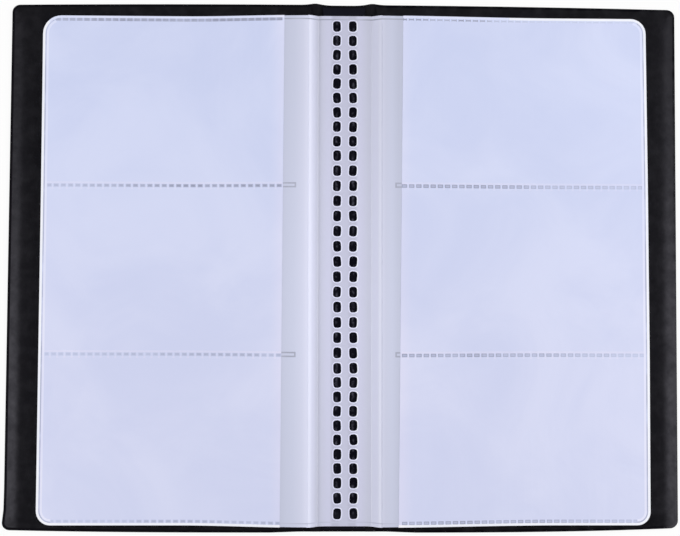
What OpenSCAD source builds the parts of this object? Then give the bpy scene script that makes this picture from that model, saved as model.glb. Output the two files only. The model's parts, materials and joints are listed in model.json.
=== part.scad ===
// Trading card album, lying open on a table.
// A heat-sealed leatherette cover with stiff boards inside carries a stack of clear pocket leaves on each side.
// The leaves of both sides meet in a fused gutter strip with two rows of holes, which lies on the spine.
// +X runs along the open width from the front cover to the back cover, +Y to the head of the pages, +Z up.
// The origin is on the table, under the middle of the open cover. Lengths are in millimetres.

/* [Cards and pockets] */
// Height of a pocket from weld to weld, for a card that lies on its side
pocket_h = 66.5; // [64:0.5:75]
// Depth of a pocket from its mouth by the gutter to its outer weld
pocket_d = 95.7; // [90:0.1:110]
// Pockets on each face of a leaf, one above the other
pocket_rows = 3; // [1:1:4]
// Width of a weld line
weld_w = 1.1; // [0.6:0.1:2]
// Depth to which a weld line is pressed into the pocket film
weld_depth = 0.03; // [0.01:0.005:0.045]

/* [Leaves] */
// Leaves on each side of the open album
leaves = 10; // [2:1:11]
// Thickness of a leaf's middle sheet
sheet_t = 0.1; // [0.06:0.01:0.2]
// Thickness of the pocket film on each face of a leaf
film_t = 0.07; // [0.05:0.01:0.12]
// Air between one leaf and the next
leaf_gap = 0.12; // [0.05:0.01:0.4]
// Air between the cover's lining and the lowest leaf
stack_gap = 0.1; // [0.05:0.01:0.5]
// Sheet outside the middle of the head and tail welds
head_margin = 1.5; // [1:0.1:6]
// Sheet outside the middle of the outer weld
edge_margin = 1.6; // [1:0.1:6]
// Sheet between a leaf's root and the mouths of its pockets
mouth_margin = 8.4; // [4:0.1:15]
// Radius of a leaf's outer corners
leaf_corner_r = 6; // [1:0.5:12]

/* [Creases] */
// Width of the sloping films between the fused strip and the crease that the leaves turn on
slope_w = 6.8; // [4:0.1:10]
// Flat part of the sloping films, next to the fused strip
slope_flat_w = 2.6; // [1:0.1:3.5]
// Height of a crease above the top of its stack
crease_lift = 0.12; // [0.1:0.01:0.5]
// Radius of the folded edge along a crease
crease_r = 0.12; // [0.05:0.01:0.2]
// Clearance between a crease and the roots of the leaves
crease_gap = 0.4; // [0.2:0.05:1]

/* [Gutter strip] */
// Half of the fused strip's width
gutter_half_w = 8; // [6:0.1:12]
// Thickness of the fused strip, where the sheets of all leaves are melted together
gutter_t = 0.5; // [0.3:0.05:1]
// Width of a hole, across the album
hole_w = 3.1; // [1.5:0.1:4]
// Length of a hole, along the gutter
hole_l = 4.1; // [2:0.1:5]
// Radius of a hole's corners
hole_corner_r = 0.8; // [0.2:0.1:0.9]
// Distance from one hole to the next near the head and the tail
hole_pitch = 5.75; // [5.2:0.01:8]
// Distance from one hole to the next in the middle of a row
mid_hole_pitch = 6.04; // [5.2:0.01:12]
// Distance between the two rows of holes
row_gap = 6.56; // [5:0.02:8]
// Least distance from the end of the strip to the middle of a hole
hole_end = 4; // [3:0.1:10]

/* [Cover] */
// Cover beyond the pages at each fore-edge, were the pages in the middle
cover_side_margin = 12.4; // [4:0.1:20]
// Cover beyond the pages at head and tail, were the pages in the middle
cover_end_margin = 3.75; // [2:0.05:10]
// Distance of the page block from the middle of the cover, towards the back cover
block_shift = 0.5; // [0:0.1:2]
// Distance of the page block from the middle of the cover, towards the tail
block_drop = 1.3; // [0:0.1:2]
// Radius of the cover's outer corners
cover_corner_r = 3; // [1:0.5:10]
// Thickness of the outer leatherette skin
skin_t = 0.6; // [0.4:0.05:1.2]
// Thickness of the boards
board_t = 1.4; // [0.8:0.1:3]
// Thickness of the lining inside the cover
lining_t = 0.4; // [0.2:0.05:0.8]
// Width of the welded flange round the boards
flange_w = 4.5; // [2.5:0.1:6]
// Width of the flange beside the hinge strips
hinge_flange_w = 0.9; // [0.6:0.1:2]
// Clearance between a board and the lining round it
board_fit = 0.1; // [0.05:0.05:0.3]

/* [Spine and hinges] */
// Spine beyond the fused strip on each side
spine_margin = 0.3; // [0.1:0.1:4]
// Width of the pressed hinge strip between the spine and each cover
hinge_w = 4; // [3.8:0.1:8]
// Thickness of a hinge strip, where skin and lining are pressed together
hinge_t = 0.7; // [0.4:0.05:0.9]
// Radius of the bead along the middle of a hinge strip, which the cover turns on
hinge_bead_r = 0.5; // [0.45:0.01:0.5]
// Clearance between a hinge strip and the cover that it carries
hinge_gap = 0.1; // [0.05:0.05:0.3]

/* [Hidden] */
// Straight pieces in a panel's rounded corner, in a hole's corner and in the rise of the sloping films
corner_steps = 6;
hole_corner_steps = 3;
rise_steps = 10;
// Overlap that makes a cut break through a face cleanly
through = 1;
// Length of page for each hole in the closer groups at head and tail
end_hole_share = 20;

// Heights
flange_t = skin_t + lining_t;
cover_t = skin_t + board_t + lining_t;
leaf_t = sheet_t + 2 * film_t;
leaf_pitch = leaf_t + leaf_gap;
stack_z = cover_t + stack_gap;
stack_top = stack_z + leaves * leaf_pitch - leaf_gap;
gutter_top = cover_t + gutter_t;

// Places across one side of the page block, from its middle
crease_x = gutter_half_w + slope_w;
leaf_root_x = crease_x + crease_gap;
mouth_x = leaf_root_x + mouth_margin;
outer_weld_x = mouth_x + pocket_d;
leaf_edge_x = outer_weld_x + edge_margin;

// Places across one side of the cover, from its middle
spine_half_w = gutter_half_w + block_shift + spine_margin;
hinge_x = spine_half_w + hinge_w / 2;
cover_root_x = spine_half_w + hinge_w;
cover_edge_x = leaf_edge_x + cover_side_margin;

// Heights of the page and the cover along Y
page_h = pocket_rows * pocket_h + 2 * head_margin;
cover_h = page_h + 2 * cover_end_margin;
first_weld_y = head_margin - page_h / 2;
end_steps = floor(page_h / end_hole_share) - 1;
mid_steps = floor((page_h - 2 * hole_end - 2 * end_steps * hole_pitch) / mid_hole_pitch);
hole_count = 2 * end_steps + mid_steps + 1;
first_hole_y = -end_steps * hole_pitch - mid_steps * mid_hole_pitch / 2;

// Colours
leatherette = [0.12, 0.12, 0.13];
lining_black = [0.16, 0.16, 0.17];
grey_board = [0.55, 0.53, 0.5];
clear_film = [0.83, 0.85, 0.95];
pocket_film = [0.88, 0.9, 0.98];

// Sides of the open album
FRONT = -1;
BACK = 1;
SIDE_NAMES = ["front", "back"];

COVER_NODES = [
    for (side = SIDE_NAMES) each [
        str(side, "_cover_skin"), str(side, "_cover_board"), str(side, "_cover_lining"), str(side, "_hinge")
    ]
];
SPINE_NODES = ["spine_skin", "spine_board", "spine_lining", "gutter_strip", "front_slope", "back_slope"];
LEAF_NODES = [
    for (side = SIDE_NAMES, k = [1:leaves]) each [
        str(side, "_leaf_", k, "_sheet"), str(side, "_leaf_", k, "_pockets")
    ]
];

// Height of the underside of a leaf, counted from the cover up
function leaf_z(k) = stack_z + (k - 1) * leaf_pitch;

// Height of the crease that the leaves of one side turn on. The back crease is half a leaf higher, so that
// leaves turned over from both sides pass between each other.
function crease_z(side) = stack_top + crease_lift + (side == BACK ? leaf_pitch / 2 : 0);

// Place of a hole along its row: the holes lie closer together near the tail and the head than between
function hole_y(i) =
    let (mid = min(max(i - end_steps, 0), mid_steps))
        first_hole_y + (i - mid) * hole_pitch + mid * mid_hole_pitch;

// Points of a rounded corner
function corner_points(x, y, r, from, steps) =
    [for (i = [0:steps]) let (a = from + 90 * i / steps) [x + r * cos(a), y + r * sin(a)]];

// Outline of a rectangle with one radius for its corners at low X and one for those at high X
function panel_points(x0, x1, half_y, r0, r1, steps = corner_steps) = concat(
    r1 > 0 ? corner_points(x1 - r1, half_y - r1, r1, 0, steps) : [[x1, half_y]],
    r0 > 0 ? corner_points(x0 + r0, half_y - r0, r0, 90, steps) : [[x0, half_y]],
    r0 > 0 ? corner_points(x0 + r0, r0 - half_y, r0, 180, steps) : [[x0, -half_y]],
    r1 > 0 ? corner_points(x1 - r1, r1 - half_y, r1, 270, steps) : [[x1, -half_y]]
);

// Smooth rise from 0 to 1
function ease(t) = t * t * (3 - 2 * t);

// Puts a shape drawn for the back side on either side of the cover
module cover_side(side) {
    mirror([side == FRONT ? 1 : 0, 0, 0])
        children();
}

// Puts a shape drawn for the back side on either side of the page block
module page_side(side) {
    translate([block_shift, -block_drop, 0])
        cover_side(side)
            children();
}

// Plate with a panel's outline
module plate(x0, x1, half_y, r0, r1, z, t) {
    translate([0, 0, z])
        linear_extrude(t)
            polygon(panel_points(x0, x1, half_y, r0, r1));
}

// Block whose four sides lean in as far as they rise, for the lining where it climbs over a board
module leaning_block(x0, x1, half_y, z, t) {
    intersection() {
        translate([0, half_y, z])
            rotate([90, 0, 0])
                linear_extrude(2 * half_y)
                    polygon([[x0, 0], [x1, 0], [x1 - t / 2, t], [x0 + t / 2, t]]);
        translate([x0, 0, z])
            rotate([90, 0, 90])
                linear_extrude(x1 - x0)
                    polygon([[-half_y, 0], [half_y, 0], [half_y - t / 2, t], [t / 2 - half_y, t]]);
    }
}

// Lining that is flat on the welded flange and climbs over the board
module lining(x0, x1, board_x0, board_x1, r0, r1) {
    board_half_y = cover_h / 2 - flange_w;
    rise = board_t + lining_t;
    lean = rise / 2 + lining_t;
    difference() {
        union() {
            plate(x0, x1, cover_h / 2, r0, r1, skin_t, lining_t);
            intersection() {
                leaning_block(board_x0 - lean, board_x1 + lean, board_half_y + lean, skin_t, rise);
                plate(x0, x1, cover_h / 2, r0, r1, skin_t, rise);
            }
        }
        translate([board_x0 - board_fit, -board_half_y - board_fit, skin_t - through])
            cube([
                board_x1 - board_x0 + 2 * board_fit, 2 * (board_half_y + board_fit), board_t + through
            ]);
    }
}

// Board that lies on the skin
module board(x0, x1) {
    half_y = cover_h / 2 - flange_w;
    plate(x0, x1, half_y, 0, 0, skin_t, board_t);
}

// Outer skin of one cover
module cover_skin(side) {
    color(leatherette)
        cover_side(side)
            plate(cover_root_x, cover_edge_x, cover_h / 2, 0, cover_corner_r, 0, skin_t);
}

// Stiff board inside one cover
module cover_board(side) {
    color(grey_board)
        cover_side(side)
            board(cover_root_x + hinge_flange_w, cover_edge_x - flange_w);
}

// Lining inside one cover
module cover_lining(side) {
    color(lining_black)
        cover_side(side)
            lining(
                cover_root_x, cover_edge_x, cover_root_x + hinge_flange_w, cover_edge_x - flange_w,
                0, cover_corner_r
            );
}

// Pressed strip between the spine and one cover, with the bead that the cover turns on
module hinge(side) {
    color(leatherette)
        cover_side(side)
            translate([0, cover_h / 2, flange_t / 2])
                rotate([90, 0, 0])
                    linear_extrude(cover_h) {
                        translate([spine_half_w, -hinge_t / 2])
                            square([hinge_w - hinge_gap, hinge_t]);
                        translate([hinge_x, 0])
                            circle(r = hinge_bead_r, $fn = 48);
                    }
}

// Outer skin of the spine
module spine_skin() {
    color(leatherette)
        plate(-spine_half_w, spine_half_w, cover_h / 2, 0, 0, 0, skin_t);
}

// Stiff board inside the spine
module spine_board() {
    color(grey_board)
        board(hinge_flange_w - spine_half_w, spine_half_w - hinge_flange_w);
}

// Lining inside the spine, which shows black through the holes
module spine_lining() {
    color(lining_black)
        lining(
            -spine_half_w, spine_half_w, hinge_flange_w - spine_half_w, spine_half_w - hinge_flange_w,
            0, 0
        );
}

// Strip of sheets melted together, with its two rows of holes
module gutter_strip() {
    color(clear_film)
        translate([block_shift, -block_drop, cover_t])
            linear_extrude(gutter_t)
                difference() {
                    square([2 * gutter_half_w, page_h], center = true);
                    for (row = [-1, 1], i = [0:hole_count - 1])
                        translate([row * row_gap / 2, hole_y(i)])
                            polygon(panel_points(
                                -hole_w / 2, hole_w / 2, hole_l / 2, hole_corner_r, hole_corner_r,
                                hole_corner_steps
                            ));
                }
}

// Films that rise from the gutter strip to the crease of one side, with the folded edge of the crease
module slope(side) {
    rise_x = gutter_half_w + slope_flat_w;
    top_z = crease_z(side) - crease_r / 2;
    rise_points = [
        for (i = [0:rise_steps])
            let (t = i / rise_steps)
                [rise_x + (crease_x - rise_x) * t, gutter_top + (top_z - gutter_top) * ease(t)]
    ];
    color(clear_film)
        page_side(side)
            translate([0, page_h / 2, 0])
                rotate([90, 0, 0])
                    union() {
                        linear_extrude(page_h)
                            polygon(concat(
                                [[gutter_half_w, gutter_top]], rise_points,
                                [[crease_x, stack_z], [rise_x, cover_t], [gutter_half_w, cover_t]]
                            ));
                        translate([crease_x, crease_z(side), 0])
                            cylinder(r = crease_r, h = page_h, $fn = 32);
                    }
}

// Middle sheet of a leaf
module leaf_sheet(side, k) {
    color(clear_film)
        page_side(side)
            plate(leaf_root_x, leaf_edge_x, page_h / 2, 0, leaf_corner_r, leaf_z(k) + film_t, sheet_t);
}

// Weld lines that divide a pocket film into pockets, cut down from a height
module weld_cuts(z) {
    for (i = [0:pocket_rows])
        translate([mouth_x - through, first_weld_y + i * pocket_h - weld_w / 2, z])
            cube([pocket_d + through, weld_w, through]);
    translate([outer_weld_x - weld_w / 2, first_weld_y - weld_w / 2, z])
        cube([weld_w, pocket_rows * pocket_h + weld_w, through]);
}

// Pocket films on the two faces of a leaf
module leaf_pockets(side, k) {
    upper_z = leaf_z(k) + film_t + sheet_t;
    color(pocket_film)
        page_side(side) {
            difference() {
                plate(mouth_x, leaf_edge_x, page_h / 2, 0, leaf_corner_r, leaf_z(k), film_t);
                weld_cuts(leaf_z(k) + weld_depth - through);
            }
            difference() {
                plate(mouth_x, leaf_edge_x, page_h / 2, 0, leaf_corner_r, upper_z, film_t);
                weld_cuts(upper_z + film_t - weld_depth);
            }
        }
}

cover_skin(FRONT);  // front_cover_skin
cover_board(FRONT);  // front_cover_board
cover_lining(FRONT);  // front_cover_lining
hinge(FRONT);  // front_hinge
cover_skin(BACK);  // back_cover_skin
cover_board(BACK);  // back_cover_board
cover_lining(BACK);  // back_cover_lining
hinge(BACK);  // back_hinge
spine_skin();
spine_board();
spine_lining();
gutter_strip();
slope(FRONT);  // front_slope
slope(BACK);  // back_slope
for (k = [1:leaves]) {
    leaf_sheet(FRONT, k);
    leaf_pockets(FRONT, k);
    leaf_sheet(BACK, k);
    leaf_pockets(BACK, k);
}
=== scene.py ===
# %% [markdown]
# A trading card album lies open on a table. Its black cover is two sheets of leatherette, welded
# together round stiff boards. A stack of milky pocket leaves lies on each side. All leaves run into one
# fused strip with two rows of holes, which lies on the spine. The CAD frame gives each piece its place,
# its size and the body that it moves with, so the script starts from that frame and measures everything
# else on it.

# %% Load the frame
import json
import math
import random

import bmesh
import bpy
from mathutils import Matrix, Vector

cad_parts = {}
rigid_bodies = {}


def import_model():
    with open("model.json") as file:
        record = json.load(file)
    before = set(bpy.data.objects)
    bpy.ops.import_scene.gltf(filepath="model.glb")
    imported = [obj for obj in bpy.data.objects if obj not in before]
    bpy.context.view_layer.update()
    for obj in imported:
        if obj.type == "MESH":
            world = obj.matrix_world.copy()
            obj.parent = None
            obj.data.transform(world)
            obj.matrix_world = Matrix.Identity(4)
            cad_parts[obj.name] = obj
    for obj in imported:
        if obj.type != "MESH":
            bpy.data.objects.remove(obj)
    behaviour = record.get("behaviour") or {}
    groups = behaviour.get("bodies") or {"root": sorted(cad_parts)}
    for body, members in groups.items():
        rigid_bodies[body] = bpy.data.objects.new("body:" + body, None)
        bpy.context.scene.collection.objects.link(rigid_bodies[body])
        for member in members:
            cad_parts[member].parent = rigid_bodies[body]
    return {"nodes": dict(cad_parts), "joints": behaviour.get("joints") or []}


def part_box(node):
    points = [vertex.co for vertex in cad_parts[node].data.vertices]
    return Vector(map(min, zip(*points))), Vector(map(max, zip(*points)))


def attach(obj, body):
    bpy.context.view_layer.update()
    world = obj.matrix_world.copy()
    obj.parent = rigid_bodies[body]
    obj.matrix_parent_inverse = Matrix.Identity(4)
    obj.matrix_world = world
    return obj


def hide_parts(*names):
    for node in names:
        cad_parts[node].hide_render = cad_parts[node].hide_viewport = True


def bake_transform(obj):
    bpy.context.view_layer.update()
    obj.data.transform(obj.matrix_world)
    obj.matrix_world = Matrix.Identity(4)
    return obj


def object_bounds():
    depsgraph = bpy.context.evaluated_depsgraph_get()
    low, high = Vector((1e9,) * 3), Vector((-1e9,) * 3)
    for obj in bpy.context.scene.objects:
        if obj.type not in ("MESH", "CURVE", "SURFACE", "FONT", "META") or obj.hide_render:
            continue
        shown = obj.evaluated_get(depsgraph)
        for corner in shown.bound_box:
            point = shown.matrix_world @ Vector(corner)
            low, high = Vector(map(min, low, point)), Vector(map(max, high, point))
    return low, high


for leftover in list(bpy.data.objects):
    bpy.data.objects.remove(leftover)
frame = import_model()
cad_low, cad_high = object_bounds()
MM = 0.001
SIDES = {"front": -1, "back": 1}
strip_low, strip_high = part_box("gutter_strip")
block_middle = (strip_low + strip_high) / 2
block_middle.z = 0


def in_mm(*lengths):
    """Lengths in millimetres, for printing."""
    return [round(length / MM, 2) for length in lengths]


print("CAD box in mm:", in_mm(*cad_low, *cad_high))
print("middle of the page block in mm:", in_mm(*block_middle))

# %% [markdown]
# The camera hangs almost straight above the album, a little towards the tail and the front cover, so
# that the tail and the left edge look slightly larger. A long lens keeps the page edges close to
# straight. Place, turn and lens were found by matching the corners of the cover, the pages and the rows
# of holes.

# %% Camera
CAMERA_PLACE = Vector((-23.6, -52.5, 750)) * MM
CAMERA_TURN = (3.93, -1.71, 0.1)
LENS = 99.6


def add_object(name, data):
    """A new object in the scene."""
    made = bpy.data.objects.new(name, data)
    bpy.context.scene.collection.objects.link(made)
    return made


camera_data = bpy.data.cameras.new("camera")
camera_data.lens = LENS
camera = add_object("camera", camera_data)
camera.location = CAMERA_PLACE
camera.rotation_euler = [math.radians(turn) for turn in CAMERA_TURN]
bpy.context.scene.camera = camera
bpy.context.scene.view_settings.view_transform = "Standard"
print("camera height in mm:", *in_mm(camera.location.z))

# %% [markdown]
# A finish is a small program of shader nodes. Clicking nodes together is hard to read back, so one
# class wraps a socket and lets Python's own operators add the Math nodes. Every other node comes from
# its method node(), which takes the type, the settings and the socket values. A colour goes through a
# Mix node, because a Math node would turn it grey.


# %% Sockets that Python can calculate with
class Wire:
    """A socket in a node tree. Without a socket it is only the start of a finish."""

    def __init__(self, tree, socket=None):
        self.tree = tree
        self.socket = socket

    def node(self, kind, settings=None, inputs=None, output=0):
        made = self.tree.nodes.new(kind)
        for name, value in (settings or {}).items():
            setattr(made, name, value)
        for name, value in (inputs or {}).items():
            if isinstance(value, Wire):
                self.tree.links.new(value.socket, made.inputs[name])
            else:
                made.inputs[name].default_value = value
        return Wire(self.tree, made.outputs[output] if made.outputs else None)

    def math(self, operation, first, second=0.0):
        return self.node("ShaderNodeMath", {"operation": operation}, {0: first, 1: second})

    def __add__(self, other):
        return self.math("ADD", self, other)

    __radd__ = __add__

    def __sub__(self, other):
        return self.math("SUBTRACT", self, other)

    def __rsub__(self, other):
        return self.math("SUBTRACT", other, self)

    def __mul__(self, other):
        return self.math("MULTIPLY", self, other)

    __rmul__ = __mul__

    def __abs__(self):
        return self.math("ABSOLUTE", self)

    def blend(self, low, high):
        """A colour from low to high, as this value goes from 0 to 1."""
        inputs = {0: self, 6: (*low, 1), 7: (*high, 1)}
        return self.node("ShaderNodeMix", {"data_type": "RGBA"}, inputs, 2)

    def tinted(self, tint):
        """This colour, multiplied by another one."""
        settings = {"data_type": "RGBA", "blend_type": "MULTIPLY"}
        return self.node("ShaderNodeMix", settings, {0: 1.0, 6: self, 7: tint}, 2)

    def ramp(self, stops):
        """A colour that goes through stops, each a place and a colour."""
        made = self.node("ShaderNodeValToRGB", {}, {"Fac": self})
        elements = made.socket.node.color_ramp.elements
        for place, _ in stops[1:-1]:
            elements.new(place)
        for element, (place, colour) in zip(elements, stops):
            element.position = place
            element.color = (*colour, 1)
        return made

    def between(self, low, high):
        """0 where this value is at low, 1 where it is at high, and smooth between."""
        settings = {"interpolation_type": "SMOOTHSTEP"}
        inputs = {"Value": self, "From Min": low, "From Max": high}
        return self.node("ShaderNodeMapRange", settings, inputs)


print("operators that add a Math node: + - * abs")

# %% [markdown]
# Every finish starts from an empty material and ends in a Principled shader. Between the two, most of
# them need the piece's own coordinates, cloudy noise and a bump. Pictures would need a flat map of
# every piece, so all patterns are worked out from the coordinates.


# %% Parts of a finish
def new_finish(name):
    """An empty material, and the wire that its nodes start from."""
    material = bpy.data.materials.new(name)
    material.use_nodes = True
    material.node_tree.nodes.clear()
    return material, Wire(material.node_tree)


def close_finish(material, start, **inputs):
    """Ends a finish in a Principled shader. Names of sockets are written with _ for a space."""
    named = {name.replace("_", " "): value for name, value in inputs.items()}
    shader = start.node("ShaderNodeBsdfPrincipled", {}, named)
    start.node("ShaderNodeOutputMaterial", {}, {"Surface": shader})
    print("finish", material.name, "has", len(material.node_tree.nodes), "nodes")
    return material


def noise(start, place, scale, detail=2.0, rough=0.5, swirl=0.0):
    """Cloudy values from 0 to 1, with about scale clouds to the metre, drawn into swirls if asked."""
    inputs = {"Vector": place, "Scale": scale, "Detail": detail, "Roughness": rough, "Distortion": swirl}
    return start.node("ShaderNodeTexNoise", {}, inputs)


def bump(start, height, depth, strength=0.5):
    """Light falls as if the surface stood out by a depth where a value is high."""
    inputs = {"Height": height, "Strength": strength, "Distance": depth}
    return start.node("ShaderNodeBump", {}, inputs)


def own_places(start):
    """A piece's own coordinates, and of them the part across the album and the part along it."""
    place = start.node("ShaderNodeTexCoord", output="Object")
    across = start.node("ShaderNodeSeparateXYZ", {}, {0: place}, "X")
    along = start.node("ShaderNodeSeparateXYZ", {}, {0: place}, "Y")
    return place, across, along


parts = (new_finish, own_places, noise, bump, close_finish)
print("parts of a finish:", [part.__name__ for part in parts])

# %% [markdown]
# The table is a wide pale plane. The photograph's ground is pure white, but lamps strong enough to make
# it so would wash out the pages. So the plane is lifted to white for camera rays, and for mirror and
# glass rays with them, while the light that it sends to the album stays that of plain white paper. A
# part of the camera's view is still the lit plane, so the album keeps its shadow.

# %% Floor
FLOOR_HALF = 6.0
FLOOR_DROP = 0.1 * MM
FLOOR_WHITE = (0.9, 0.9, 0.9, 1)
LIFT = 0.88
floor_finish, start = new_finish("table_white")
seen = start.node("ShaderNodeLightPath", output="Is Camera Ray")
mirrored = start.node("ShaderNodeLightPath", output="Is Glossy Ray")
through_glass = start.node("ShaderNodeLightPath", output="Is Transmission Ray")
lift = (seen + mirrored + through_glass) * LIFT
paper = start.node("ShaderNodeBsdfDiffuse", {}, {"Color": FLOOR_WHITE})
glow = start.node("ShaderNodeEmission", {}, {"Color": (1, 1, 1, 1), "Strength": 1.0})
ground = start.node("ShaderNodeMixShader", {}, {0: lift, 1: paper, 2: glow})
start.node("ShaderNodeOutputMaterial", {}, {"Surface": ground})
floor_mesh = bpy.data.meshes.new("table")
bm = bmesh.new()
bmesh.ops.create_grid(bm, x_segments=4, y_segments=4, size=FLOOR_HALF)
bm.to_mesh(floor_mesh)
bm.free()
floor_mesh.materials.append(floor_finish)
floor = add_object("table", floor_mesh)
floor.location.z = -FLOOR_DROP
print("floor half width in m:", FLOOR_HALF)

# %% [markdown]
# The light is a soft sky and two softboxes, one on each side, with the right one a little stronger.
# From straight above, flat black leatherette then mirrors only the dim sky and stays nearly black,
# while its sloping edges mirror a softbox and shine. Together the lamps light a level sheet so that its
# colour renders about as it is written.

# %% Sky and softboxes
SKY = 0.34
SOFTBOXES = (
    ("softbox_right", Vector((0.82, 0.10, 0.62)), 0.8, 7.7),
    ("softbox_left", Vector((-0.80, -0.06, 0.62)), 0.55, 5.15),
)
world = bpy.data.worlds.new("studio")
bpy.context.scene.world = world
world.use_nodes = True
world.node_tree.nodes.clear()
sky = Wire(world.node_tree)
sky_light = sky.node("ShaderNodeBackground", {}, {"Color": (1, 1, 1, 1), "Strength": SKY})
sky.node("ShaderNodeOutputWorld", {}, {"Surface": sky_light})
for name, place, size, power in SOFTBOXES:
    lamp = bpy.data.lights.new(name, "AREA")
    lamp.size = size
    lamp.energy = power
    softbox = add_object(name, lamp)
    softbox.location = place
    softbox.rotation_euler = (-place).to_track_quat("-Z", "Y").to_euler()
print("softboxes:", [name for name, *_ in SOFTBOXES])

# %% [markdown]
# Leatherette is vinyl with a grain rolled into it: pebbles of less than a millimetre, finer pores on
# them, and soft dents over some millimetres, which mottle its shine. A picture of leather would repeat
# and blur, so the grain is made of Voronoi cells and noise on the piece's own coordinates. The inside
# of the cover has the same vinyl with a finer grain. Along both fore-edges, and most towards the tail,
# a painted sheen makes it greyer. Where it was welded it was pressed smooth and is a deeper black. On
# the back cover the weld carries the painted sheen too, as a painted highlight. The lining of the spine
# is painted the deepest black, as painted shade inside the holes, with a painted glint in the middle of
# each hole.

# %% Black vinyl
PEBBLE = 1200.0
FINE_PEBBLE = 1.5 * PEBBLE
PRESSED_PEBBLE = 2 * PEBBLE
PORE = 4200.0
DENT = 260.0
UNEVEN = 70.0
PEBBLE_BLUR = 0.5
PEBBLE_HEIGHT = 0.35
PORE_HEIGHT = 0.15
DENT_HEIGHT = 1.3
UNEVEN_HEIGHT = 0.8
GRAIN_DEPTH = 0.12 * MM
GRAIN_STRENGTH = 0.8
PEBBLE_DULL = 0.12
UNEVEN_DULL = 0.08
UNEVEN_WEAR = 0.1
DENT_WEAR = 0.4
SHEEN_EVEN = 0.1
VINYL_SHINE = 0.09
PRESSED_SHINE = 0.05
PRESSED_ROUGH = 0.4
# Painted sheen: the base colour is lighter between these distances across, and towards the tail.
SHEEN_ACROSS = (127 * MM, 131 * MM)
SHEEN_ALONG = (-110 * MM, 70 * MM)
VINYL_BLACK = (0.006, 0.0058, 0.0072)
PRESSED_BLACK = (0.0016, 0.0015, 0.0028)
WORN_AND_SHEEN_BLACK = (0.05, 0.0485, 0.0555)
# Painted shade in the holes: a deeper black for the spine's lining, with a painted glint in each hole.
SPINE_SHADED_BLACK = (0.0006, 0.0006, 0.003)
SPINE_GLINT = (0.06, 0.0595, 0.08)
SPINE_SHINE = 0.02
GLINT = 700.0
GLINT_ROW = 3.3 * MM
GLINT_HALF = 0.85 * MM
GLINT_ENDS = (97 * MM, 100 * MM)
GLINT_CLOUDS = (0.42, 0.75)
SPINE_END_UNSHADED = 0.09
VIOLET_SHEEN = (0.86, 0.83, 1.0, 1)


def black_vinyl(name, pebble, rough, shine=VINYL_SHINE, black=VINYL_BLACK, sheen_and_wear_amount=1.0, glint=None):
    """Grained vinyl, worn, with painted sheen on its fore-edges. A glint colour paints glints in holes.
    """
    material, start = new_finish(name)
    place, across, along = own_places(start)
    cells = {"Vector": place, "Scale": pebble, "Smoothness": PEBBLE_BLUR}
    pebbles = 1 - start.node("ShaderNodeTexVoronoi", {"feature": "SMOOTH_F1"}, cells, "Distance")
    pores = noise(start, place, PORE)
    dents = noise(start, place, DENT, detail=3.0)
    uneven = noise(start, place, UNEVEN, detail=5.0)
    fine = PEBBLE_HEIGHT * pebbles + PORE_HEIGHT * pores
    height = fine + DENT_HEIGHT * dents + UNEVEN_HEIGHT * uneven
    # Painted sheen: lighter along both fore-edges, most towards the tail, mottled by the dents.
    painted_sheen = abs(across).between(*SHEEN_ACROSS) * (0 - along).between(*SHEEN_ALONG)
    wear_and_sheen = UNEVEN_WEAR * uneven + sheen_and_wear_amount * (DENT_WEAR * (dents - 0.5) + painted_sheen * (SHEEN_EVEN + dents))
    # Painted glint along the middle of each row of holes; beyond the rows the painted hole shade is
    # lifted.
    if glint:
        off_row = abs(abs(across - block_middle.x) - GLINT_ROW).between(0.0, GLINT_HALF)
        ends = abs(along).between(*GLINT_ENDS)
        lit = (1 - off_row) * noise(start, place, GLINT).between(*GLINT_CLOUDS)
        wear_and_sheen = wear_and_sheen + SPINE_END_UNSHADED * ends + (1 - ends) * lit
    return close_finish(
        material,
        start,
        Base_Color=wear_and_sheen.blend(black, glint or WORN_AND_SHEEN_BLACK),
        Roughness=rough + PEBBLE_DULL * pebbles + UNEVEN_DULL * uneven,
        Normal=bump(start, height, GRAIN_DEPTH, GRAIN_STRENGTH),
        Specular_IOR_Level=shine,
        Specular_Tint=VIOLET_SHEEN,
    )


leatherette = black_vinyl("grained_leatherette", PEBBLE, rough=0.28)
lining_vinyl = black_vinyl("grained_lining", FINE_PEBBLE, rough=0.34)
spine_vinyl = black_vinyl(
    "hole_shaded_lining", FINE_PEBBLE, PRESSED_ROUGH, SPINE_SHINE, SPINE_SHADED_BLACK, sheen_and_wear_amount=0.0, glint=SPINE_GLINT
)
as_pressed = {"pebble": PRESSED_PEBBLE, "rough": PRESSED_ROUGH, "shine": PRESSED_SHINE}
pressed_vinyl = black_vinyl("pressed_vinyl", **as_pressed, black=PRESSED_BLACK, sheen_and_wear_amount=0.0)
# On the back cover the weld gets the painted sheen too, as a painted highlight on its ridge.
weld_painted_highlight = black_vinyl("weld_painted_highlight", **as_pressed, black=PRESSED_BLACK, sheen_and_wear_amount=1.7)
hinge_vinyl = black_vinyl("hinge_vinyl", **as_pressed, sheen_and_wear_amount=0.0)
flange_vinyl = {"front": pressed_vinyl, "back": weld_painted_highlight}

# %% [markdown]
# The boards sit between skin and lining and show only when the album is taken apart. Grey board is
# pressed waste paper: flecked, dull and slightly brown. They keep their CAD shape, which is right, and
# get this finish.

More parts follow.
